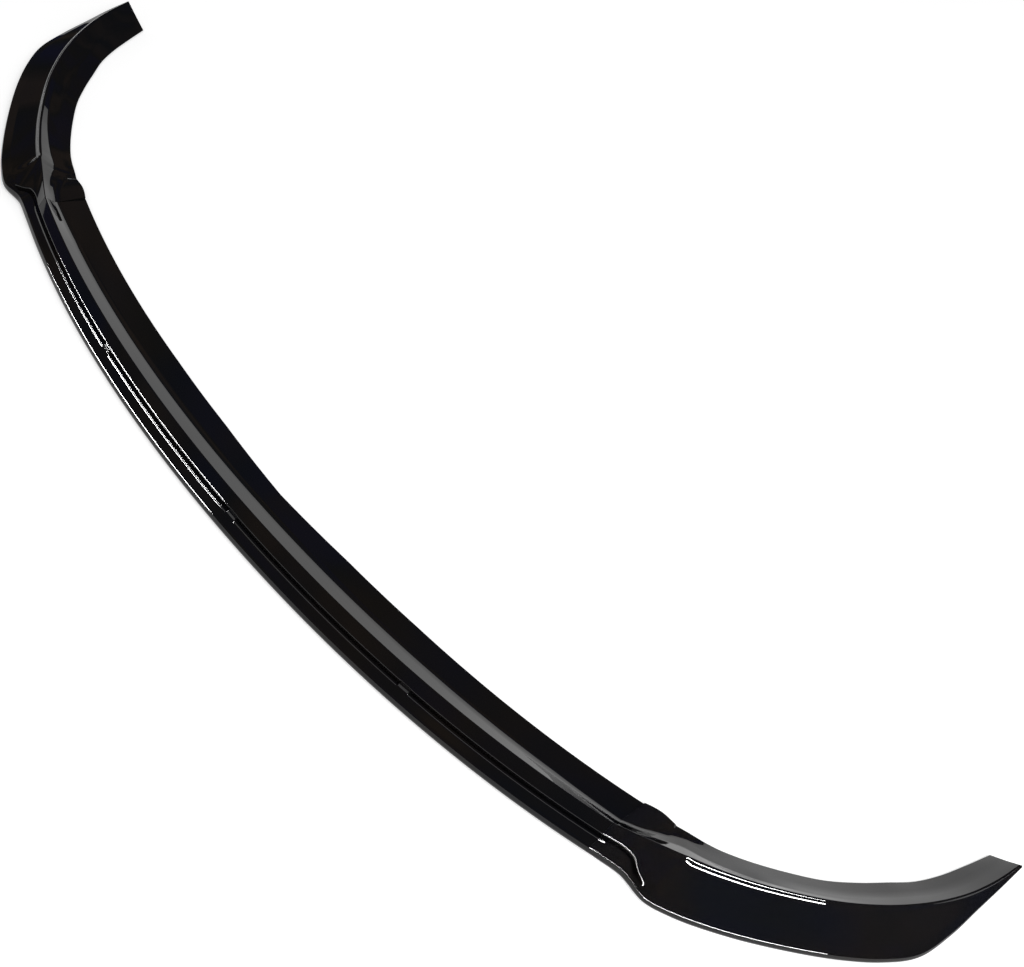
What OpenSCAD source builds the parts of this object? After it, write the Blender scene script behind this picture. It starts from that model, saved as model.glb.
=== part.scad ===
// Front splitter lip in three gloss black mouldings: a long centre and two corners.
// X runs across the car, the nose faces -Y, and the part stands on its lower edge at Z = 0.
// The origin is below the middle of the whole lip.

/* [Whole lip] */
// Depth from the front of the nose to the ends of the tips
lip_depth = 433; // [415:1:450]
// Height of the ridge above the floor
ridge_z = 38; // [35:0.5:42]
// Wall thickness of the mouldings
wall = 3; // [2.2:0.1:3.4]
// Open seam between the centre and each corner
seam_gap = 0.3; // [0.2:0.1:0.8]

/* [Centre moulding] */
// Width of the centre moulding between its seams
centre_w = 1102; // [1000:2:1200]
// How far the ridge sweeps back from the middle to a seam
centre_sweep = 75; // [60:1:90]
// Depth of the flange behind the ridge at the middle
flange_d = 56.5; // [50:0.5:62]
// Extra depth of the flange between the middle and the seams
flange_bulge = 4.5; // [0:0.5:8]
// Height of the flange's back edge
flange_edge_z = 6; // [4:0.5:9]
// Height at which the flange turns up into the ridge
bend_z = 21.5; // [18:0.5:24]

/* [Nose and slot] */
// Distance from the ridge forward to the top edge of the nose
nose_reach = 29.5; // [27:0.5:33]
// Height of the nose face
nose_h = 14; // [12:0.5:16]
// How far the nose face bulges forward
nose_bulge = 1.5; // [0.5:0.1:2.5]
// Width of the flat return under the nose
return_w = 17; // [10:1:22]
// Width of the slot above the shelf
slot_w = 3.8; // [3:0.1:4.5]
// Depth of the slot below the crease above it
slot_d = 11.5; // [10:0.5:13]

/* [Slot ribs] */
// Distance from the middle to each outer rib
rib_x = 294; // [250:2:340]
// Width of a rib
rib_w = 16; // [10:1:22]
// How far a rib's top lies below the crease
rib_drop = 2.5; // [1.5:0.1:4]

/* [Corner mouldings] */
// Width of a corner moulding from its seam to its tip
corner_w = 309; // [280:1:340]
// Length of the raised tab beside the seam
tab_len = 36; // [28:1:42]
// Extra depth of the steep bank inside the ridge
bank_drop = 3.2; // [0:0.1:4]
// Drop of the step under the ridge, outside
step_drop = 4.5; // [2:0.1:5]

/* [Seam joints] */
// Length of the tongue under the tab
tongue_len = 26; // [22:1:28]
// Play between the tongue and the tab above it
tongue_play = 0.4; // [0.2:0.05:0.6]
// Diameter of the joint screws
screw_d = 3.5; // [3:0.1:4]
// How deep a screw bites into the tab
screw_bite = 2.4; // [1.5:0.1:2.6]
// Diameter of the screw heads
screw_head_d = 7; // [6:0.5:8]
// Height of the screw heads
screw_head_h = 2.4; // [1.8:0.1:3]
// Diameter of the washers
washer_d = 9; // [8:0.5:10]
// Thickness of the washers
washer_t = 0.8; // [0.5:0.1:1.2]
// Distance between the two screws of a joint
screw_pitch = 12; // [10:0.5:13]
// Width of the cross cuts in the screw heads
cross_w = 1; // [0.6:0.1:1.4]

/* [Hidden] */

gloss_black = [0.02, 0.02, 0.022];
zinc = [0.62, 0.63, 0.65];

// Where the ridge meets the seams, and how far the corners sweep back from there
seam_x = centre_w / 2;
ridge_y0 = nose_reach + nose_bulge - lip_depth / 2;
corner_back = lip_depth - nose_reach - nose_bulge - centre_sweep;
// The square part of the centre's sweep: the rest follows the fourth power
sweep_square = 0.87;
// The crease under the ridge: its share of the way back to the ridge, and its drop
crease_share = 0.615;
crease_drop = 3.7;

// Cuts through a corner from its seam to its tip. Each row holds the ridge's place, the inner
// edge's place and height, the inner bend's share of the way to that edge and its height, the
// top edge of the nose, the crease's share of the way from there to the ridge, its drop below
// the straight line, the lift of the underside, the nose height and how open the slot is.
// Places are counted from the seam's ridge end, across and back, on a corner of these sizes.
drawn_w = 309;
drawn_back = 327;
drawn_edge_z = 6;
drawn_bend_z = 21.5;
drawn_reach = 29.5;
drawn_nose_h = 14;
corner_cuts = [
    [0, 0,       0, 57.5, 6,      0.21, 21.5,  0, -29.5,     crease_share, crease_drop, 0, 14, 1],
    [24, 11.5,   19, 62.5, 6,     0.28, 20.5,  16, -25,      0.58, 3,    0, 14, 1],
    [47, 23,     35, 66.5, 6,     0.58, 14,    30, -21,      0.43, 0.8,  0, 14, 1],
    [61, 30,     47, 71, 5.5,     0.80, 8,     41, -19,      0.26, 0,    0, 14, 0.9],
    [68, 33.5,   53, 73.5, 5,     0.84, 7.2,   53, -19.3,    0.18, 1.3,  0, 14, 0.4],
    [72, 35.5,   57, 75, 4.5,     0.84, 7,     67, -20.3,    0.17, 1.4,  0, 14, 0.1],
    [77, 38,     62, 77, 4,       0.82, 7.5,   79, -18.8,    0.20, 0,    0, 14, 0],
    [89, 44,     74, 81.5, 3.5,   0.75, 10,    95, -12.5,    0.25, 0,    0, 14, 0],
    [109, 55.5,  92, 90, 3,       0.65, 13,    123, 2.5,     0.25, 0,    0, 14, 0],
    [139, 74.5,  119, 106.5, 2.6, 0.52, 17.5,  165, 31,      0.25, 0,    0, 14, 0],
    [176, 102,   151, 129.5, 2.6, 0.45, 19.6,  209, 65.5,    0.25, 0,    1.5, 14, 0],
    [209, 130.5, 181, 154.5, 2.6, 0.45, 19.6,  246, 98.5,    0.25, 0,    3, 14, 0],
    [237, 160.5, 206, 182.5, 2.6, 0.45, 19.6,  277, 132.5,   0.25, 0,    5, 13, 0],
    [259, 189.5, 225, 207.5, 2.6, 0.45, 19.6,  298, 166.5,   0.25, 0,    8, 11.5, 0],
    [277, 219.5, 244, 233.5, 2.6, 0.45, 19.8,  305, 208.5,   0.25, 0,    15, 9, 0],
    [292, 252.5, 258, 262.5, 2.6, 0.45, 20.2,  306.5, 248.5, 0.25, 0,    22.5, 7, 0],
    [302, 287.5, 269, 294.5, 2.6, 0.45, 20.8,  308, 285.5,   0.25, 0,    30, 4.5, 0],
    [307.5, 321.5, 279, 327, 2.6, 0.45, 21.2,  309, 321,     0.25, 0,    35, 2.3, 0]
];

// Rings between two cuts of a corner, and rings along the centre
rings_per_cut = 2;
centre_rings = 9;
// Points that round one corner of the section
round_steps = 2;
// Share of a section's side that a rounding may take at each end
round_limit = 0.42;
// Roundings from the back edge to the return under the nose, outside and inside
outer_rounds = [0, 9, 2, 3, 1.5, 0.6, 0, 0, 0.8, 1.6, 3, 2, 0];
inner_rounds = [0, 9, 2, 1, 1.5, 0, 0, 0, 0, 0.5, 1, 0.5, 0];
// Slot floor width, how far its front wall leans out and how much the floor falls
slot_floor_w = 2.5;
slot_lean = 0.5;
slot_fall = 0.5;
// Height of the shelf's back edge above the top edge of the nose
shelf_rise = 4;
// The most of the way back to the ridge that the return under the nose may take
return_share = 0.6;
// Share of the nose height at its foremost line, and setback of its lower edge
nose_line_share = 0.57;
nose_toe = 2;
// The nose height that one wall thickness needs
nose_per_wall = 4.6;
slack = 0.01;
// How steeply a rib's ends rise out of the slot
rib_slope = 0.5;
// Length over which the raised tab steps down at its far end
tab_step = 2;
// Share of the way from the ridge to the bend that the bank takes. Its extra depth and that of
// the step outside, as shares along the corner's cuts
bank_share = 0.45;
bank_shares = [[0, 0], [1, 0.25], [2, 0.6], [3, 1], [8, 1], [9, 0.95], [10, 0.3], [12, 0]];
step_shares = [[5.3, 0], [6.2, 1], [8, 0.9], [10, 0.6], [12, 0.4], [15, 0.25], [17, 0]];
// Share of the way from the ridge to the crease that the step takes, with a closed and an open
// slot, and the least part of it where the step is low
step_closed = 0.12;
step_open = 0.5;
step_least = 0.5;
// Share of the screw head's width and height that its cross takes
cross_share = 0.6;
// Clearance of the screw holes in the tongue, and of the pilot holes round the thread
hole_play = 0.4;
pilot_play = 0.02;
// The tongue's back and front on the way from the flange's edge to its bend
tongue_back = 0.26;
tongue_front = 0.74;
// How far the tongue runs on under the centre's flange. A smaller block there rises into it.
tongue_root = 8;
root_rise = 1;
root_inset = 1;
// How far the tongue lies below the flange's outer face at the back. The tab above it follows.
tongue_sink = 0.4;
tab_h = wall + tongue_play - tongue_sink;

// The lip's lines across the centre
function sweep(x) = let (t = x / seam_x)
    centre_sweep * (sweep_square * t * t + (1 - sweep_square) * t * t * t * t);
function flange_depth(x) = flange_d
    + lookup(abs(x) / seam_x, [[0, 0], [0.22, 0.9], [0.43, 1], [1, 0.2]]) * flange_bulge;
function bend_share(x) = lookup(abs(x) / seam_x, [[0, 0.39], [0.55, 0.34], [0.85, 0.29], [1, 0.21]]);
function centre_cut(x) = [
    x, sweep(x), x, sweep(x) + flange_depth(x), flange_edge_z, bend_share(x), bend_z,
    x, sweep(x) - nose_reach, crease_share, crease_drop, 0, nose_h, 1, 0, 0];

// A smooth curve through the rows of the corner's table
function row(i) = corner_cuts[max(0, min(len(corner_cuts) - 1, i))];
function blend_rows(a, b, c, d, t) = 0.5 * (2 * b + (c - a) * t
    + (2 * a - 5 * b + 4 * c - d) * t * t + (3 * b - a - 3 * c + d) * t * t * t);
function drawn_cut(u) = let (i = min(floor(u), len(corner_cuts) - 2), t = u - i)
    blend_rows(i == 0 ? 2 * row(0) - row(1) : row(i - 1), row(i), row(i + 1),
        i == len(corner_cuts) - 2 ? 2 * row(i + 1) - row(i) : row(i + 2), t);

// The raised tab lifts the inner edge over its own length
function tab_lift(x) = tab_h * max(0, min(1, 1 - (x - tab_len) / tab_step));
function corner_cut(u) = let (
        c = drawn_cut(u), kx = corner_w / drawn_w, ky = corner_back / drawn_back,
        reach_more = (nose_reach - drawn_reach * ky) * max(0, c[13]))
    [c[0] * kx, c[1] * ky, c[2] * kx, c[3] * ky,
        c[4] + flange_edge_z - drawn_edge_z + tab_lift(c[2] * kx), c[5], c[6] * bend_z / drawn_bend_z,
        c[7] * kx, c[8] * ky - reach_more, c[9], c[10], c[11], c[12] * nose_h / drawn_nose_h, c[13],
        lookup(u, bank_shares), lookup(u, step_shares)];

// The thirteen corners of one section, from the flange's back edge to the return under the nose
function section(c, slot_z = slot_d) = let (
        ridge = [c[0], c[1], ridge_z],
        edge = [c[2], c[3], c[4]],
        bend = [ridge.x + (edge.x - ridge.x) * c[5], ridge.y + (edge.y - ridge.y) * c[5], c[6]],
        top = [c[7], c[8], c[11] + c[12]],
        ahead = flat_way(ridge, top),
        crease = top + (ridge - top) * c[9] - [0, 0, c[10]],
        k = c[12] / nose_h,
        open = c[13],
        bank = mix(ridge, bend, bank_share) - [0, 0, bank_drop * c[14]],
        step_at = mix(step_closed * max(step_least, c[15]), step_open, open),
        step = mix(ridge, crease, step_at) - [0, 0, step_drop * c[15]],
        slot_front = mix(crease + (top - crease) * 0.25,
            crease + ahead * -slot_lean - [0, 0, slot_z], open),
        slot_back = mix(crease + (top - crease) * 0.5,
            crease + ahead * (slot_floor_w - slot_lean) - [0, 0, slot_z + slot_fall], open),
        shelf = mix(crease + (top - crease) * 0.75,
            [crease.x, crease.y, nose_h + shelf_rise] + ahead * slot_w, open),
        nose = top + ahead * nose_bulge * k - [0, 0, c[12] * (1 - nose_line_share)],
        toe = top - ahead * nose_toe * k - [0, 0, c[12]],
        reach = norm([ridge.x - top.x, ridge.y - top.y]),
        heel = toe - ahead * min(return_w * k, reach * return_share))
    [edge, bend, bank, ridge, step, crease, slot_front, slot_back, shelf, top, nose, toe, heel];

function mix(a, b, t) = a * (1 - t) + b * t;
function flat_way(a, b) = let (d = [b.x - a.x, b.y - a.y, 0]) d / max(norm(d), slack);

// Directions within a section: h runs level along it, and the normal points out of the wall
function side(p, i, h) = let (d = p[i + 1] - p[i], s = d * h) [-d.z, s] / max(norm([s, d.z]), slack);
function outward(p) = [for (i = [0 : len(p) - 1])
    let (h = flat_way(p[0], p[9]),
        a = side(p, max(0, i - 1), h), b = side(p, min(len(p) - 2, i), h),
        m = (a + b) / (1 + a * b))
    h * m[0] + [0, 0, m[1]]];
function wall_at(i, c) = i < 2 ? wall : min(wall, c[12] / nose_per_wall);
function inside(p, c) = let (n = outward(p)) [for (i = [0 : len(p) - 1]) p[i] - n[i] * wall_at(i, c)];

// Rounds the corners of a section with short curves
function rounded(p, r) = [for (i = [0 : len(p) - 1])
    let (a = p[max(0, i - 1)], b = p[i], c = p[min(len(p) - 1, i + 1)])
    if (r[i] == 0 || i == 0 || i == len(p) - 1) b
    else let (ea = min(r[i], norm(b - a) * round_limit) / max(norm(b - a), slack),
        ec = min(r[i], norm(c - b) * round_limit) / max(norm(c - b), slack))
        each [for (j = [0 : round_steps]) let (t = j / round_steps)
            mix(mix(b + (a - b) * ea, b, t), mix(b, b + (c - b) * ec, t), t)]];

// A moulding skinned over its sections: the outer faces, the inner faces and two end walls
inner_limits = [for (i = [0 : len(outer_rounds) - 1])
    outer_rounds[i] == 0 ? 0 : max(inner_rounds[i], slack)];
function ring(c, slot_z = slot_d) = let (
        p = section(c, slot_z),
        q = rounded(p, outer_rounds),
        r = rounded(inside(p, c), inner_limits))
    concat(q, [for (i = [len(r) - 1 : -1 : 0]) r[i]]);
module skin(rings) {
    n = len(rings[0]);
    m = len(rings);
    points = [for (r = rings) each r];
    walls = [for (i = [0 : m - 2], j = [0 : n - 1]) let (k = (j + 1) % n, a = i * n, b = a + n)
        each [[a + j, a + k, b + k], [a + j, b + k, b + j]]];
    first = [for (j = [0 : n / 2 - 2]) let (o = n - 1 - j)
        each [[j, o, o - 1], [j, o - 1, j + 1]]];
    last = [for (t = first) [for (v = [2 : -1 : 0]) t[v] + (m - 1) * n]];
    polyhedron(points, concat(walls, first, last), convexity = 8);
}

// The seam joint: a tongue on the centre lies under the corner's tab, on the tab's inner face
function tab_inside(u) = let (c = corner_cut(u)) inside(section(c), c);
function tab_point(u, share) = let (q = tab_inside(u)) mix(q[0], q[1], share);
tongue_from = tab_point(0, tongue_back);
tongue_to = tab_point(0, tongue_front);
tab_run = flat_way(tab_point(0, tongue_back), tab_point(1, tongue_back));
tab_rise = (tongue_to - tongue_from) / norm(tongue_to - tongue_from);
tab_normal = let (n = cross(tab_run, tab_rise)) n / norm(n) * sign(n.z);
tongue_mid = (tongue_from + tongue_to) / 2 + tab_run * tongue_len / 2;

// A flat slab from two corners along a run, under a face with the given normal
module slab(from, to, run, normal, thick) {
    top = [from, to, to + run, from + run];
    points = concat(top, [for (p = top) p - normal * thick]);
    polyhedron(points,
        [[0, 1, 2, 3], [7, 6, 5, 4], [4, 5, 1, 0], [5, 6, 2, 1], [6, 7, 3, 2], [7, 4, 0, 3]]);
}
module tongue_part(length, rise, inset) {
    start = tab_normal * (rise - tongue_play) + tab_run * (inset - tongue_root);
    slab(tongue_from + start + tab_rise * inset, tongue_to + start - tab_rise * inset,
        tab_run * length, tab_normal, wall);
}
module tongue() {
    tongue_part(tongue_root + tongue_len, 0, 0);
    tongue_part(tongue_root - root_inset * 2, root_rise, root_inset);
}

// Places children on the two screws of a joint, with Z out of the tab's inner face
corner_at = [seam_x + seam_gap / 2, ridge_y0 + centre_sweep, 0];
module at_right_joint() {
    for (k = [-0.5, 0.5])
        translate(corner_at + tongue_mid + tab_rise * k * screw_pitch)
            rotate([0, acos(tab_normal.z), atan2(tab_normal.y, tab_normal.x)]) children();
}
module at_both_joints() {
    for (m = [0, 1]) mirror([m, 0, 0]) at_right_joint() children();
}

// The places along the centre where it is cut, with the depth of the slot there
half_w = seam_x - seam_gap / 2;
rib_places = [-rib_x, 0, rib_x];
function between(a, b, n) = [for (i = [0 : n]) [a + (b - a) * i / n, slot_d]];
function over_rib(x) = [[x - rib_w / 2 + rib_slope, rib_drop], [x + rib_w / 2 - rib_slope, rib_drop]];
centre_places = [
    each between(-half_w, -rib_x - rib_w / 2, centre_rings),
    for (i = [0 : 2]) each concat(over_rib(rib_places[i]), between(rib_places[i] + rib_w / 2,
        i == 2 ? half_w : rib_places[i + 1] - rib_w / 2, centre_rings))];

module centre_lip() color(gloss_black) {
    translate([0, ridge_y0, 0]) skin([for (p = centre_places) ring(centre_cut(p[0]), p[1])]);
    for (m = [0, 1]) mirror([m, 0, 0]) difference() {
        translate(corner_at) tongue();
        at_right_joint() translate([0, 0, -wall * 2])
            cylinder(d = screw_d + hole_play, h = wall * 4, $fn = 32);
    }
}

module corner() {
    last = (len(corner_cuts) - 1) * rings_per_cut;
    difference() {
        translate(corner_at) skin([for (i = [0 : last]) ring(corner_cut(i / rings_per_cut))]);
        at_right_joint() translate([0, 0, -wall])
            cylinder(d = screw_d + pilot_play, h = wall + screw_bite, $fn = 32);
    }
}

module right_corner_lip() color(gloss_black) corner();
module left_corner_lip() color(gloss_black) mirror([1, 0, 0]) corner();

under_tongue = -tongue_play - wall;
module joint_washers() color(zinc) at_both_joints() translate([0, 0, under_tongue - washer_t])
    difference() {
        cylinder(d = washer_d, h = washer_t, $fn = 32);
        translate([0, 0, -washer_t]) cylinder(d = screw_d + hole_play, h = washer_t * 3, $fn = 32);
    }
module joint_screws() color(zinc) at_both_joints() translate([0, 0, under_tongue - washer_t]) {
    cylinder(d = screw_d, h = washer_t - under_tongue + screw_bite, $fn = 32);
    translate([0, 0, -screw_head_h]) difference() {
        cylinder(d = screw_head_d, h = screw_head_h, $fn = 32);
        for (a = [0, 90]) rotate(a) translate([-screw_head_d * cross_share / 2, -cross_w / 2, -slack])
            cube([screw_head_d * cross_share, cross_w, screw_head_h * cross_share]);
    }
}

centre_lip();
left_corner_lip();
right_corner_lip();
joint_washers();
joint_screws();
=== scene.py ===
import math
import bmesh
import bpy
import numpy as np
from mathutils import Matrix, Vector


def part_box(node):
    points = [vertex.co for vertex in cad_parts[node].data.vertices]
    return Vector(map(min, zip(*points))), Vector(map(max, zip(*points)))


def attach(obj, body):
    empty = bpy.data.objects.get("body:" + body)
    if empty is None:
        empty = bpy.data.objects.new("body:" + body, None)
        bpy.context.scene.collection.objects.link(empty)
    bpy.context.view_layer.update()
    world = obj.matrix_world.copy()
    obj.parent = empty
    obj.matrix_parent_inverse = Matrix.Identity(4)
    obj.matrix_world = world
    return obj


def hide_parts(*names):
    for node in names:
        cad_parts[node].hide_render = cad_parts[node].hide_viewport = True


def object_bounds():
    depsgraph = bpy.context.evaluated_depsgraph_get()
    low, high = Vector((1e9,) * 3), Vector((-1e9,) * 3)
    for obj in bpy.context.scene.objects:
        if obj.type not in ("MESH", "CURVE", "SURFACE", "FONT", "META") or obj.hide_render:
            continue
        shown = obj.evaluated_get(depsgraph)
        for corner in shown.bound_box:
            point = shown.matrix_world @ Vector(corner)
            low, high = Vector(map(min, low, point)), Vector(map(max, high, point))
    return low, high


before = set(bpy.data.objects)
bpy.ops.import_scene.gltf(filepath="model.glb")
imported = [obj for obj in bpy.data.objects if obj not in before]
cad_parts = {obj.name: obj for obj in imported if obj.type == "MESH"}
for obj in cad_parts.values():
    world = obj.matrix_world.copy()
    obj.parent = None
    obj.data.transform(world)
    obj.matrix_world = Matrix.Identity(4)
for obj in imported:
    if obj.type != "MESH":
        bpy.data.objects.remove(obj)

cad_low, cad_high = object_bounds()

# Centre moulding
# The long middle piece, injection moulded in black ABS against a polished tool, so that it comes
# out glossy with no paint. It is one thin wall: a flange that lies under the bumper, a ridge, a
# slot with three ribs, a shelf and a rounded nose, open at the back and below.
mm = 0.001
seam_gap = 0.3
seam_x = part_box("right_corner_lip")[0].x / mm - seam_gap / 2
lip_back = cad_high.y / mm
lip_front = cad_low.y / mm
ridge_z = 38
wall = 3
centre_sweep = 75
sweep_square = 0.87
flange_d = 56.5
flange_bulge = 4.5
flange_edge_z = 6
bend_z = 21.5
nose_reach = 29.5
nose_h = 14
nose_bulge = 1.5
nose_line_share = 0.57
nose_toe = 2
nose_slope = 2.5
nose_per_wall = 4.6
return_w = 17
return_share = 0.6
slot_w = 3.8
slot_d = 11.5
slot_floor_w = 2.5
slot_lean = 0.5
slot_fall = 0.5
shelf_rise = 4
crease_share = 0.615
crease_drop = 3.7
rib_x = 294
rib_w = 16
rib_drop = 2.5
rib_fillet = 1.2
slot_lip = 1.7
lip_share = 0.085
bank_share = 0.45
bank_drop = 3.2
step_drop = 4.5
step_closed = 0.12
step_open = 0.5
step_least = 0.5
ridge_y = lip_front + nose_reach + nose_bulge

# Radii of the corners of a cut, from the flange's back edge to the return under the nose
ridge_radius = 1.3
crease_radius = 1.2
nose_radius = 2.2
outer_radii = [
    0.5, 9, 2, ridge_radius, 3, crease_radius, 1, 0.6, 1, 1, nose_radius, 3, 2, 0.5]
inner_radii = [0.5, 9, 2, 1, 1.5, 0.3, 0.4, 0.4, 0.4, 0.4, 0.5, 1, 0.5, 0.5]


def profile_corners(cut, slot_deep, lip_high):
    """Fourteen corners for each cut. The ridge, the flange's edge and the nose's top edge are given.
    The bend lies a share of the way from ridge to edge, the crease a share of the way from the
    top edge to the ridge, and the slot, the nose and the return are stepped off from those. The
    bank inside the ridge and the step outside it lie a given depth below their straight sides, and
    a small lip stands along the slot's front edge, but not at the ribs. The nose slopes, so that
    its top edge is drawn in along the shelf."""
    (ridge_u, ridge_v, edge_u, edge_v, edge_z, bend_part, bend_high, top_u, top_v,
        crease_part, crease_low, lift, nose, slot_open, banked, stepped) = cut.T
    flat = np.zeros_like(nose)

    def at(u, v, z):
        return np.stack(np.broadcast_arrays(u, v, z + flat), -1)

    ridge = at(ridge_u, ridge_v, ridge_z)
    edge = at(edge_u, edge_v, edge_z)
    bend = ridge + (edge - ridge) * bend_part[:, None]
    bend[:, 2] = bend_high
    top = at(top_u, top_v, lift + nose)
    span = np.hypot(ridge_u - top_u, ridge_v - top_v)
    ahead = (top - ridge) * [1, 1, 0] / span[:, None]
    up = np.array([0, 0, 1])
    crease = top + (ridge - top) * crease_part[:, None] - crease_low[:, None] * up
    is_open = slot_open[:, None]
    bank = ridge + (bend - ridge) * bank_share - bank_drop * banked[:, None] * up
    step_part = step_closed * np.maximum(stepped[:, None], step_least) * (1 - is_open)
    step_part += step_open * is_open
    step = ridge + (crease - ridge) * step_part - step_drop * stepped[:, None] * up

    def opened(share, place):
        return (crease + (top - crease) * share) * (1 - is_open) + place * is_open

    floor_z = crease - slot_deep[:, None] * up
    slot_front = opened(0.25, floor_z - ahead * slot_lean)
    slot_back = opened(0.5, floor_z + ahead * (slot_floor_w - slot_lean) - up * slot_fall)
    shelf = opened(0.75, crease * [1, 1, 0] + up * (nose_h + shelf_rise) + ahead * slot_w)
    lip_foot = shelf + (top - shelf) * lip_share
    lip_rise = lip_high * np.clip((slot_deep - rib_drop) / (slot_d - rib_drop), 0, 1)
    shelf += lip_rise[:, None] * is_open * up
    size = (nose / nose_h)[:, None]
    foremost = top + ahead * nose_bulge * size - up * nose[:, None] * (1 - nose_line_share)
    toe = top - ahead * nose_toe * size - up * nose[:, None]
    heel = toe - ahead * np.minimum(return_w * size, span[:, None] * return_share)
    inward = lip_foot - top
    length = np.linalg.norm(inward, axis=1)[:, None]
    top = top + inward / length * np.minimum(nose_slope * size, length / 2)
    return np.stack([edge, bend, bank, ridge, step, crease, slot_front, slot_back, shelf, lip_foot,
        top, foremost, toe, heel], 1)


def inner_corners(p, nose):
    """The same corners moved in by the wall. Each side of a cut, unfolded onto a plane, has a
    normal, and a corner moves along the mitre of its two normals: (a + b) / (1 + a . b)."""
    across = (p[:, 10] - p[:, 0]) * [1, 1, 0]
    across /= np.linalg.norm(across, axis=1)[:, None]
    step = np.diff(p, axis=1)
    run = np.einsum("rij,rj->ri", step, across)
    normal = np.stack([-step[..., 2], run], -1)
    normal /= np.maximum(np.linalg.norm(normal, axis=-1), 0.01)[..., None]
    before = np.concatenate([normal[:, :1], normal], 1)
    after = np.concatenate([normal, normal[:, -1:]], 1)
    mitre = (before + after) / (1 + (before * after).sum(-1))[..., None]
    thick = np.minimum(wall, nose / nose_per_wall)[:, None] * np.ones(p.shape[1])
    thick[:, :2] = wall
    out = across[:, None] * mitre[..., :1] + np.array([0, 0, 1]) * mitre[..., 1:]
    return p - out * thick[..., None]


def rounded_rings(p, radii, steps=11, limit=0.42):
    """Closed rings with every corner rounded, and the direction of travel at each point. A corner
    b between a and c becomes the curve (1-t)^2 A + 2t(1-t) b + t^2 C, where A and C lie on its
    two sides, one radius away or at most the given share of the side."""
    a, c = np.roll(p, 1, 1), np.roll(p, -1, 1)
    radii = np.atleast_2d(radii)[..., None]
    to_a, to_c = a - p, c - p
    long_a = np.maximum(np.linalg.norm(to_a, axis=2, keepdims=True), 1e-6)
    long_c = np.maximum(np.linalg.norm(to_c, axis=2, keepdims=True), 1e-6)
    to_a = (to_a * np.minimum(radii / long_a, limit))[:, :, None]
    to_c = (to_c * np.minimum(radii / long_c, limit))[:, :, None]
    t = np.linspace(0, 1, steps + 1)[None, None, :, None]
    points = p[:, :, None] + to_a * (1 - t) ** 2 + to_c * t ** 2
    travel = to_c * t / long_c[:, :, None] - to_a * (1 - t) / long_a[:, :, None]
    shape = (len(p), -1, 3)
    return points.reshape(shape), travel.reshape(shape)


def moulding_mesh(
        name, cut, slot_deep, lip_high, place, edge_radii, mirrored=False, more=None):
    """A closed wall skinned over its cuts. The normals are the cross product of the direction
    round a ring and the direction from ring to ring, so that flat faces reflect as flat. The radii
    of the ridge, the crease and the nose's top edge may change from ring to ring. More closed
    parts, given as points and triangles, join the same mesh with the normals of their faces."""
    outside = profile_corners(cut, slot_deep, lip_high)
    inside = inner_corners(profile_corners(cut, slot_deep, 0), cut[:, 12])
    corners = np.concatenate([outside, inside[:, ::-1]], 1)
    radii = np.tile(np.array(outer_radii + inner_radii[::-1], float), (len(cut), 1))
    radii[:, [3, 5, 10]] = np.transpose(edge_radii)
    rings, travel = rounded_rings(corners, radii)
    rings = (rings + place) * mm
    onward = np.gradient(rings, axis=0)
    normals = np.cross(travel, onward)
    ends = np.stack([-onward[0].mean(0), onward[-1].mean(0)])
    rows, around = rings.shape[:2]
    index = np.arange(rows * around).reshape(rows, around)
    beside = np.roll(index, -1, 1)
    walls = np.stack([index[:-1], beside[:-1], beside[1:], index[1:]], -1).reshape(-1, 4)
    half = np.arange(around // 2 - 1)
    last = np.stack([half, half + 1, around - 2 - half, around - 1 - half], -1) + index[-1, 0]
    first = last[:, ::-1] - index[-1, 0]
    faces = np.concatenate([walls, first, last])
    corner_normals = np.concatenate([
        normals.reshape(-1, 3)[walls.ravel()],
        np.repeat(ends, 4 * len(half), axis=0)])
    if mirrored:
        rings, corner_normals = rings * [-1, 1, 1], corner_normals * [-1, 1, 1]
        faces = faces[:, ::-1]
        corner_normals = corner_normals.reshape(-1, 4, 3)[:, ::-1].reshape(-1, 3)
    corner_normals /= np.maximum(np.linalg.norm(corner_normals, axis=1), 1e-12)[:, None]
    points, loops, starts = rings.reshape(-1, 3), faces.ravel(), np.arange(0, faces.size, 4)
    if more:
        extra, triangles = more
        a, b, c = np.moveaxis(extra[triangles], 1, 0)
        flat = np.cross(b - a, c - a)
        flat /= np.maximum(np.linalg.norm(flat, axis=1), 1e-12)[:, None]
        corner_normals = np.vstack([corner_normals, np.repeat(flat, 3, axis=0)])
        starts = np.concatenate([starts, len(loops) + np.arange(0, triangles.size, 3)])
        loops = np.concatenate([loops, (triangles + len(points)).ravel()])
        points = np.vstack([points, extra])
    mesh = bpy.data.meshes.new(name)
    mesh.vertices.add(len(points))
    mesh.vertices.foreach_set("co", points.ravel())
    mesh.loops.add(len(loops))
    mesh.loops.foreach_set("vertex_index", loops)
    mesh.polygons.add(len(starts))
    mesh.polygons.foreach_set("loop_start", starts)
    is_cut = np.zeros(len(starts), np.int32)
    is_cut[len(walls):len(faces)] = 1
    mesh.polygons.foreach_set("material_index", is_cut)
    mesh.update(calc_edges=True)
    mesh.shade_smooth()
    mesh.normals_split_custom_set(corner_normals)
    return mesh


def centre_sweep_at(x):
    """How far the ridge lies behind its middle: mostly the square of x, with some fourth power."""
    t = x / seam_x
    return centre_sweep * (sweep_square * t ** 2 + (1 - sweep_square) * t ** 4)


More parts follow.
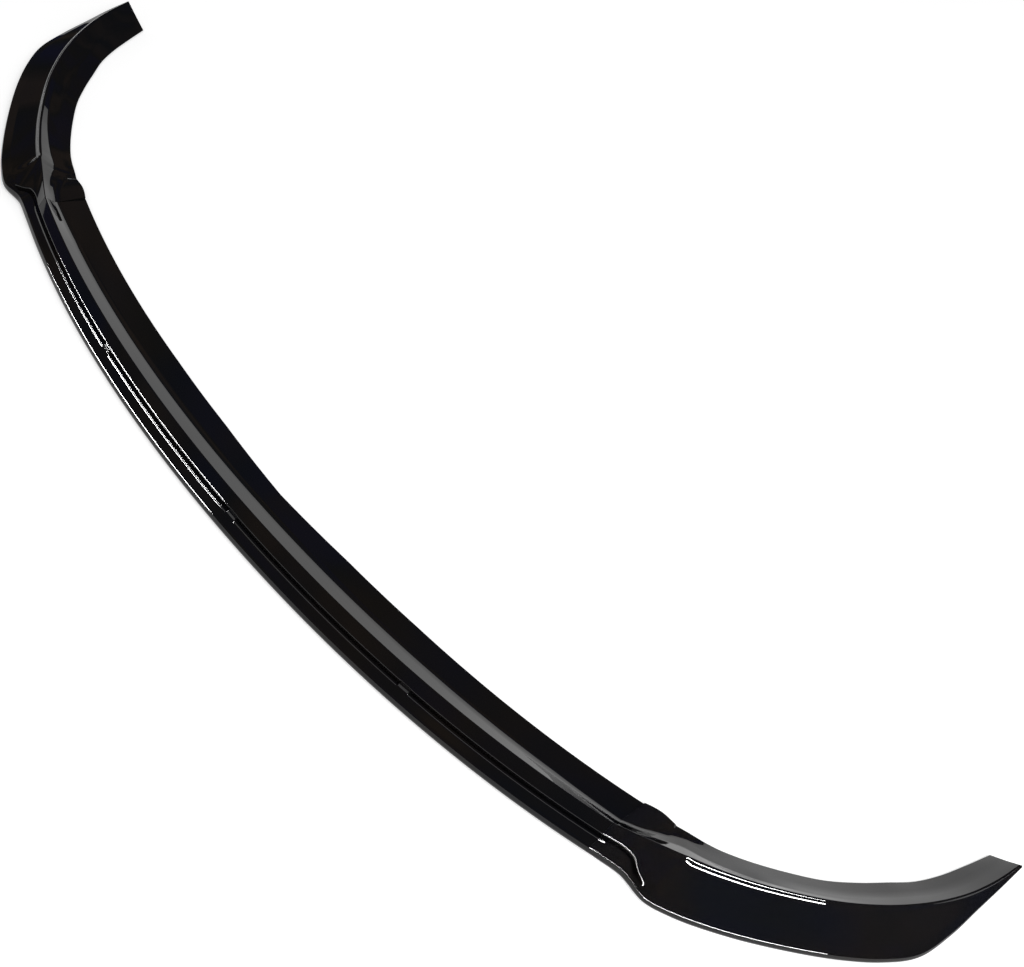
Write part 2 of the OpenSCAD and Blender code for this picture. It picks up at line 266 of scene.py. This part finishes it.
def centre_cuts(x):
    """The cut at each x: the flange is a little deeper between the middle and the seams."""
    t = abs(x) / seam_x
    depth = flange_d + flange_bulge * np.interp(t, [0, 0.22, 0.43, 1], [0, 0.9, 1, 0.2])
    bend = np.interp(t, [0, 0.55, 0.85, 1], [0.39, 0.34, 0.29, 0.21])
    back = centre_sweep_at(x)
    same = np.ones_like(x)
    return np.stack([
        x, back, x, back + depth, same * flange_edge_z, bend, same * bend_z, x, back - nose_reach,
        same * crease_share, same * crease_drop, same * 0, same * nose_h, same, same * 0, same * 0], 1)


def smooth_step(t):
    """From 0 to 1 with a level start and end: 3t^2 - 2t^3."""
    t = np.clip(t, 0, 1)
    return t * t * (3 - 2 * t)


half_w = seam_x - seam_gap / 2
rib_places = np.array([-rib_x, 0, rib_x])
rib_ends = (rib_places[:, None] + [-rib_w / 2, rib_w / 2]).ravel()
rib_rings = (rib_ends[:, None] + np.linspace(-rib_fillet, rib_fillet, 13)).ravel()
centre_x = np.unique(np.concatenate([np.linspace(-half_w, half_w, 161), rib_rings]).round(3))
to_rib = np.abs(centre_x[:, None] - rib_places).min(1) - rib_w / 2
slot_deep = rib_drop + (slot_d - rib_drop) * smooth_step(to_rib / rib_fillet / 2 + 0.5)


def tongues(node):
    """Points and triangles of the two drilled tongues that reach under the corners' tabs. They
    come from the node's own solid: a copy is cut just past each seam, the outer part is kept,
    and the cut is closed."""
    points, triangles = [], []
    for side in (-1, 1):
        tongue = bpy.data.meshes.new("tongue")
        part = bmesh.new()
        part.from_mesh(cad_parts[node].data)
        bmesh.ops.remove_doubles(part, verts=part.verts, dist=1e-6)
        bmesh.ops.bisect_plane(
            part, geom=part.verts[:] + part.edges[:] + part.faces[:], dist=1e-7,
            plane_co=(side * (half_w + 0.02) * mm, 0, 0), plane_no=(side, 0, 0), clear_inner=True)
        bmesh.ops.holes_fill(part, edges=part.edges)
        bmesh.ops.recalc_face_normals(part, faces=part.faces)
        bmesh.ops.triangulate(part, faces=part.faces)
        part.to_mesh(tongue)
        part.free()
        places = np.empty((len(tongue.vertices), 3), np.float32)
        corners = np.empty((len(tongue.polygons), 3), np.int32)
        tongue.vertices.foreach_get("co", places.ravel())
        tongue.loops.foreach_get("vertex_index", corners.ravel())
        bpy.data.meshes.remove(tongue)
        triangles.append(corners + sum(map(len, points)))
        points.append(places)
    return np.vstack(points), np.vstack(triangles)


centre = bpy.data.objects.new("centre_moulding", moulding_mesh(
    "centre_moulding", centre_cuts(centre_x), slot_deep, slot_lip, [0, ridge_y, 0],
    np.outer([ridge_radius, crease_radius, nose_radius], np.ones_like(centre_x)),
    more=tongues("centre_lip")))
bpy.context.collection.objects.link(centre)
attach(centre, "root")
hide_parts("centre_lip")


def noise(nodes, links, place, scale, detail):
    """A noise pattern on the given place, with its scale in waves per metre."""
    pattern = nodes.new("ShaderNodeTexNoise")
    pattern.inputs["Scale"].default_value = scale
    pattern.inputs["Detail"].default_value = detail
    links.new(place, pattern.inputs["Vector"])
    return pattern.outputs["Fac"]


def gloss_black():
    """Polished black ABS. The black drifts between a cool and a warm tone, the polish varies a
    little, and a very low bump gives the moulding's slight waviness."""
    material = bpy.data.materials.new("gloss_black_abs")
    material.use_nodes = True
    nodes, links = material.node_tree.nodes, material.node_tree.links
    shader = nodes["Principled BSDF"]
    shader.inputs["IOR"].default_value = 1.38
    place = nodes.new("ShaderNodeTexCoord").outputs["Object"]
    tone = nodes.new("ShaderNodeValToRGB")
    tone.color_ramp.elements[0].position = 0.35
    tone.color_ramp.elements[0].color = (0.0048, 0.0052, 0.0066, 1)
    tone.color_ramp.elements[1].position = 0.65
    tone.color_ramp.elements[1].color = (0.0078, 0.0064, 0.0056, 1)
    links.new(noise(nodes, links, place, 7, 2), tone.inputs["Fac"])
    links.new(tone.outputs["Color"], shader.inputs["Base Color"])
    polish = nodes.new("ShaderNodeMapRange")
    polish.inputs["To Min"].default_value = 0.012
    polish.inputs["To Max"].default_value = 0.028
    links.new(noise(nodes, links, place, 40, 3), polish.inputs["Value"])
    links.new(polish.outputs["Result"], shader.inputs["Roughness"])
    wave = nodes.new("ShaderNodeBump")
    wave.inputs["Strength"].default_value = 0.05
    wave.inputs["Distance"].default_value = 0.0004
    links.new(noise(nodes, links, place, 14, 1), wave.inputs["Height"])
    links.new(wave.outputs["Normal"], shader.inputs["Normal"])
    return material


def cut_black():
    """The trimmed ends at the seams: the same black left matt by the saw, with fine streaks."""
    material = bpy.data.materials.new("cut_black_abs")
    material.use_nodes = True
    nodes, links = material.node_tree.nodes, material.node_tree.links
    shader = nodes["Principled BSDF"]
    shader.inputs["Roughness"].default_value = 0.8
    shader.inputs["Specular IOR Level"].default_value = 0.1
    place = nodes.new("ShaderNodeTexCoord").outputs["Object"]
    tone = nodes.new("ShaderNodeValToRGB")
    tone.color_ramp.elements[0].color = (0.003, 0.003, 0.003, 1)
    tone.color_ramp.elements[1].color = (0.007, 0.007, 0.007, 1)
    links.new(noise(nodes, links, place, 600, 2), tone.inputs["Fac"])
    links.new(tone.outputs["Color"], shader.inputs["Base Color"])
    return material


black = gloss_black()
cut_end = cut_black()
centre.data.materials.append(black)
centre.data.materials.append(cut_end)

# Corner mouldings
# A left and a right piece, moulded in the same black ABS as mirror images. Each butts against the
# centre with a small open seam, and a raised tab on its flange laps the centre's tongue.
corner_w = cad_high.x / mm - seam_x - seam_gap / 2
corner_back = lip_back - ridge_y - centre_sweep
tab_len = 36
tab_step = 4
tab_h = 3
tab_bulge = 2.5
drawn_w = 309
drawn_back = 327

# From seam to tip: the ridge across and back, the inner edge across, back and its height, the
# bend's share and height, the nose's top edge across and back, the crease's share and drop, the
# lift of the underside, the nose height and how open the slot is
corner_table = np.array([
    [0, 0, 0, 57.5, 6, 0.21, 21.5, 0, -29.5, 0.615, 3.7, 0, 14, 1],
    [24, 11.5, 19, 62.5, 6, 0.28, 20.5, 16, -25, 0.58, 3, 0, 14, 1],
    [47, 23, 35, 66.5, 6, 0.58, 14, 30, -21, 0.43, 0.8, 0, 14, 1],
    [61, 30, 47, 71, 5.5, 0.80, 8, 41, -19, 0.26, 0, 0, 14, 0.9],
    [68, 33.5, 53, 73.5, 5, 0.84, 7.2, 53, -19.3, 0.18, 1.3, 0, 14, 0.4],
    [72, 35.5, 57, 75, 4.5, 0.84, 7, 67, -20.3, 0.17, 1.4, 0, 14, 0.1],
    [77, 38, 62, 77, 4, 0.82, 7.5, 79, -18.8, 0.20, 0, 0, 14, 0],
    [89, 44, 74, 81.5, 3.5, 0.75, 10, 95, -12.5, 0.25, 0, 0, 14, 0],
    [109, 55.5, 92, 90, 3, 0.65, 13, 123, 2.5, 0.25, 0, 0, 14, 0],
    [139, 74.5, 119, 106.5, 2.6, 0.52, 17.5, 165, 31, 0.25, 0, 0, 14, 0],
    [176, 102, 151, 129.5, 2.6, 0.45, 19.6, 209, 65.5, 0.25, 0, 1.5, 14, 0],
    [209, 130.5, 181, 154.5, 2.6, 0.45, 19.6, 246, 98.5, 0.25, 0, 3, 14, 0],
    [237, 160.5, 206, 182.5, 2.6, 0.45, 19.6, 277, 132.5, 0.25, 0, 5, 13, 0],
    [259, 189.5, 225, 207.5, 2.6, 0.45, 19.6, 298, 166.5, 0.25, 0, 8, 11.5, 0],
    [277, 219.5, 244, 233.5, 2.6, 0.45, 19.8, 305, 208.5, 0.25, 0, 15, 9, 0],
    [292, 252.5, 258, 262.5, 2.6, 0.45, 20.2, 306.5, 248.5, 0.25, 0, 22.5, 7, 0],
    [302, 287.5, 269, 294.5, 2.6, 0.45, 20.8, 308, 285.5, 0.25, 0, 30, 4.5, 0],
    [307.5, 321.5, 279, 327, 2.6, 0.45, 21.2, 309, 321, 0.25, 0, 35, 2.3, 0]])


def glide(rows, u):
    """Rows of a table taken at places u along it. Between two rows each column follows the cubic
    through both that leaves each row parallel to the line between its neighbours."""
    rows = np.vstack([2 * rows[0] - rows[1], rows, 2 * rows[-1] - rows[-2]])
    i = np.minimum(u.astype(int), len(rows) - 4)
    t = (u - i)[:, None]
    a, b, c, d = rows[i], rows[i + 1], rows[i + 2], rows[i + 3]
    return 0.5 * (2 * b + (c - a) * t + (2 * a - 5 * b + 4 * c - d) * t ** 2
        + (3 * b - a - 3 * c + d) * t ** 3)


corner_rings = np.unique(np.concatenate([
    np.linspace(0, len(corner_table) - 1, 205), np.linspace(1.9, 2.3, 25),
    np.linspace(5.2, 6.4, 25)]))
banked = np.interp(corner_rings, [0, 1, 2, 3, 8, 9, 10, 12], [0, 0.25, 0.6, 1, 1, 0.95, 0.3, 0])
stepped = np.interp(corner_rings, [6.2, 8, 10, 12, 15, 17], [1, 0.9, 0.6, 0.4, 0.25, 0])
stepped *= smooth_step((corner_rings - 5.1) / 1.6)
corner_cuts = np.column_stack([glide(corner_table, corner_rings), banked, stepped])
corner_cuts[:, [0, 2, 7]] *= corner_w / drawn_w
corner_cuts[:, [1, 3, 8]] *= corner_back / drawn_back
tab_way = corner_cuts[:, 2] / tab_len
corner_cuts[:, 4] += tab_h * smooth_step(1 - (corner_cuts[:, 2] - tab_len) / tab_step)
corner_cuts[:, 3] += tab_bulge * np.sin(math.pi * np.clip(tab_way, 0, 1))

# The edges of the blade are softer than those of the centre, and sharper at the slot's end and tip
edge_radii = [
    ridge_radius + 2.7 * smooth_step((corner_rings - 4) / 3),
    crease_radius + 1.3 * smooth_step(corner_rings / 2),
    np.interp(corner_rings, [0, 0.5, 4.5, 5.5, 11, 14],
        [nose_radius, 0.5, 0.5, nose_radius, nose_radius, 0.6])]
corner_lip = slot_lip * smooth_step(1 - corner_rings)
for side_name, mirrored in (("left_corner", True), ("right_corner", False)):
    corner = bpy.data.objects.new(side_name + "_moulding", moulding_mesh(
        side_name + "_moulding", corner_cuts, corner_rings * 0 + slot_d, corner_lip,
        [seam_x + seam_gap / 2, ridge_y + centre_sweep, 0], edge_radii, mirrored))
    bpy.context.collection.objects.link(corner)
    corner.data.materials.append(black)
    corner.data.materials.append(cut_end)
    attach(corner, "root")
    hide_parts(side_name + "_lip")

# Joint screws and washers
# Four short cross-head screws with four washers, turned and stamped in steel and zinc plated. They
# come up from below, through the tongues and into the tabs.
def zinc_plated():
    """Zinc plate on steel: a pale metal with fine cloudy spots and a slight blue cast."""
    material = bpy.data.materials.new("zinc_plated_steel")
    material.use_nodes = True
    nodes, links = material.node_tree.nodes, material.node_tree.links
    shader = nodes["Principled BSDF"]
    shader.inputs["Metallic"].default_value = 1
    place = nodes.new("ShaderNodeTexCoord").outputs["Object"]
    tone = nodes.new("ShaderNodeValToRGB")
    tone.color_ramp.elements[0].color = (0.42, 0.44, 0.47, 1)
    tone.color_ramp.elements[1].color = (0.66, 0.66, 0.64, 1)
    links.new(noise(nodes, links, place, 900, 4), tone.inputs["Fac"])
    links.new(tone.outputs["Color"], shader.inputs["Base Color"])
    polish = nodes.new("ShaderNodeMapRange")
    polish.inputs["To Min"].default_value = 0.25
    polish.inputs["To Max"].default_value = 0.45
    links.new(noise(nodes, links, place, 2500, 2), polish.inputs["Value"])
    links.new(polish.outputs["Result"], shader.inputs["Roughness"])
    return material


zinc = zinc_plated()
for node in ("joint_washers", "joint_screws"):
    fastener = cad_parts[node]
    fastener.data.materials.clear()
    fastener.data.materials.append(zinc)

# Floor
# A wide pale studio floor. It shows as white to the camera and in reflections, and keeps the
# shadow of the lip.
floor_half = 40
floor_mesh = bpy.data.meshes.new("floor")
floor_mesh.from_pydata(
    [(-floor_half, -floor_half, 0), (floor_half, -floor_half, 0),
        (floor_half, floor_half, 0), (-floor_half, floor_half, 0)], [], [(0, 1, 2, 3)])
floor = bpy.data.objects.new("floor", floor_mesh)
bpy.context.collection.objects.link(floor)


def seen_rays(nodes, links):
    """1 for the rays of the camera, of reflections and of clear material, and 0 for the rest."""
    path = nodes.new("ShaderNodeLightPath")
    total = path.outputs["Is Camera Ray"]
    for other in ("Is Glossy Ray", "Is Transmission Ray"):
        add = nodes.new("ShaderNodeMath")
        add.operation = "ADD"
        add.use_clamp = True
        links.new(total, add.inputs[0])
        links.new(path.outputs[other], add.inputs[1])
        total = add.outputs[0]
    return total


def pale_floor():
    """Matt white with very faint mottling, and a glow that only seen rays meet."""
    material = bpy.data.materials.new("pale_floor")
    material.use_nodes = True
    nodes, links = material.node_tree.nodes, material.node_tree.links
    nodes.clear()
    place = nodes.new("ShaderNodeTexCoord").outputs["Object"]
    tone = nodes.new("ShaderNodeValToRGB")
    tone.color_ramp.elements[0].color = (0.78, 0.78, 0.78, 1)
    tone.color_ramp.elements[1].color = (0.82, 0.82, 0.82, 1)
    links.new(noise(nodes, links, place, 3, 2), tone.inputs["Fac"])
    matt = nodes.new("ShaderNodeBsdfDiffuse")
    links.new(tone.outputs["Color"], matt.inputs["Color"])
    glow = nodes.new("ShaderNodeEmission")
    strength = nodes.new("ShaderNodeMath")
    strength.operation = "MULTIPLY"
    strength.inputs[1].default_value = 0.5
    links.new(seen_rays(nodes, links), strength.inputs[0])
    links.new(strength.outputs[0], glow.inputs["Strength"])
    both = nodes.new("ShaderNodeAddShader")
    links.new(matt.outputs[0], both.inputs[0])
    links.new(glow.outputs[0], both.inputs[1])
    out = nodes.new("ShaderNodeOutputMaterial")
    links.new(both.outputs[0], out.inputs["Surface"])
    return material


floor_mesh.materials.append(pale_floor())

# Dark studio
# Black cloth all round and above, which only reflections meet. It is why the gloss is black in
# every face that looks up, and pale in those that look down at the floor.
def dark_dome(radius=6, rows=24, around=64):
    """A half ball open at the floor: height angle by compass angle, both in even steps."""
    up, turn = np.meshgrid(
        np.linspace(0, math.pi / 2, rows + 1)[:-1], np.arange(around) * 2 * math.pi / around,
        indexing="ij")
    points = radius * np.stack(
        [np.cos(up) * np.cos(turn), np.cos(up) * np.sin(turn), np.sin(up)], -1).reshape(-1, 3)
    points = np.vstack([points, [0, 0, radius]])
    index = np.arange(rows * around).reshape(rows, around)
    beside = np.roll(index, -1, 1)
    walls = np.stack([index[:-1], index[1:], beside[1:], beside[:-1]], -1).reshape(-1, 4)
    crown = [(a, rows * around, b) for a, b in zip(index[-1].tolist(), beside[-1].tolist())]
    mesh = bpy.data.meshes.new("dark_cloth")
    mesh.from_pydata(points.tolist(), [], walls.tolist() + crown)
    mesh.shade_smooth()
    return mesh


dome = bpy.data.objects.new("dark_cloth", dark_dome())
bpy.context.collection.objects.link(dome)
dome.visible_camera = False
dome.visible_diffuse = False
dome.visible_transmission = False
dome.visible_shadow = False


def dark_cloth():
    """Nearly black, with folds that drift between a cool and a warm tone."""
    material = bpy.data.materials.new("dark_cloth")
    material.use_nodes = True
    nodes, links = material.node_tree.nodes, material.node_tree.links
    nodes.clear()
    place = nodes.new("ShaderNodeTexCoord").outputs["Object"]
    tone = nodes.new("ShaderNodeValToRGB")
    tone.color_ramp.elements[0].position = 0.36
    tone.color_ramp.elements[0].color = (0.018, 0.024, 0.084, 1)
    tone.color_ramp.elements[1].position = 0.64
    tone.color_ramp.elements[1].color = (0.105, 0.076, 0.059, 1)
    tone.color_ramp.elements.new(0.5).color = (0.022, 0.026, 0.026, 1)
    links.new(noise(nodes, links, place, 0.9, 2), tone.inputs["Fac"])
    glow = nodes.new("ShaderNodeEmission")
    links.new(tone.outputs["Color"], glow.inputs["Color"])
    out = nodes.new("ShaderNodeOutputMaterial")
    links.new(glow.outputs[0], out.inputs["Surface"])
    return material


dome.data.materials.append(dark_cloth())

# Lights
# An even pale sky for the floor and the matt light, white where it is seen, a broad soft lamp high
# on the right, and narrow strips that draw the white lines in the gloss.
world = bpy.data.worlds.new("studio")
bpy.context.scene.world = world
world.use_nodes = True
nodes, links = world.node_tree.nodes, world.node_tree.links
nodes["Background"].inputs["Color"].default_value = (0.95, 0.95, 0.95, 1)
sky = nodes.new("ShaderNodeMapRange")
sky.inputs["To Min"].default_value = 0.45
sky.inputs["To Max"].default_value = 1
links.new(seen_rays(nodes, links), sky.inputs["Value"])
links.new(sky.outputs["Result"], nodes["Background"].inputs["Strength"])


def soft_lamp(name, place, aim, width, height, power):
    """A flat rectangular lamp at a place, turned to face a point."""
    light = bpy.data.lights.new(name, "AREA")
    light.shape = "RECTANGLE"
    light.size, light.size_y = width, height
    light.energy = power
    lamp = bpy.data.objects.new(name, light)
    lamp.location = place
    lamp.rotation_euler = (Vector(aim) - Vector(place)).to_track_quat("-Z", "Y").to_euler()
    bpy.context.collection.objects.link(lamp)
    return lamp


soft_lamp("key", (2.2, -0.6, 2.8), (0, 0, 0), 1.6, 1.6, 60).visible_glossy = False


def strip_lamp(name, middle, first, last, distance, height, glow, only):
    """A long bright lamp that only reflections meet. It runs from one direction to another as seen
    from the given middle: compass angles from -Y towards +X, each with a height angle. It is
    screened off from all pieces but one."""
    ends = []
    for turn, rise in (first, last):
        turn, rise = math.radians(turn), math.radians(rise)
        ends.append(Vector(middle) + distance * Vector((
            math.sin(turn) * math.cos(rise), -math.cos(turn) * math.cos(rise), math.sin(rise))))
    along = ends[1] - ends[0]
    place = (ends[0] + ends[1]) / 2
    power = glow * math.pi * along.length * height
    lamp = soft_lamp(name, place, middle, along.length, height, power)
    across = (place - Vector(middle)).cross(along).normalized()
    axes = Matrix((along.normalized(), across, along.cross(across).normalized())).transposed()
    lamp.rotation_euler = axes.to_euler()
    lamp.visible_diffuse = False
    lit = bpy.data.collections.new(name + "_lit")
    lit.objects.link(only)
    lamp.light_linking.receiver_collection = lit


# Bright lines along the centre's left half, then along the right corner's ridge and lower edge
strip_lamp("left_strip", (-0.3, -0.15, 0.03), (-66, -4.5), (-22, 7.7), 2, 0.15, 220, centre)
strip_lamp("right_strip", (0.7, -0.1, 0.03), (31.5, 16), (63, 15), 2, 0.2, 220, corner)
strip_lamp("front_strip", (0.61, -0.19, 0.02), (-50, 6), (6, 6), 2, 0.15, 150, corner)
strip_lamp("side_strip", (0.65, -0.17, 0.02), (3, 6), (34, 6), 2, 0.15, 220, corner)

# Camera
# High in front and to the right, rolled so that the lip runs from upper left to lower right.
camera_place = Vector((0.7795, -0.7407, 1.3701))
camera_right = Vector((0.6546, 0.7397, 0.1593))
camera_up = Vector((-0.6618, 0.4576, 0.5933))
camera_back = Vector((0.3655, -0.4934, 0.7891))
camera_data = bpy.data.cameras.new("camera")
camera_data.lens = 49.22
camera_data.sensor_width = 36
camera = bpy.data.objects.new("camera", camera_data)
bpy.context.collection.objects.link(camera)
turn = Matrix((camera_right, camera_up, camera_back)).transposed().to_quaternion().to_matrix()
camera.matrix_world = Matrix.Translation(camera_place) @ turn.to_4x4()
bpy.context.scene.camera = camera
bpy.context.scene.view_settings.view_transform = "Standard"
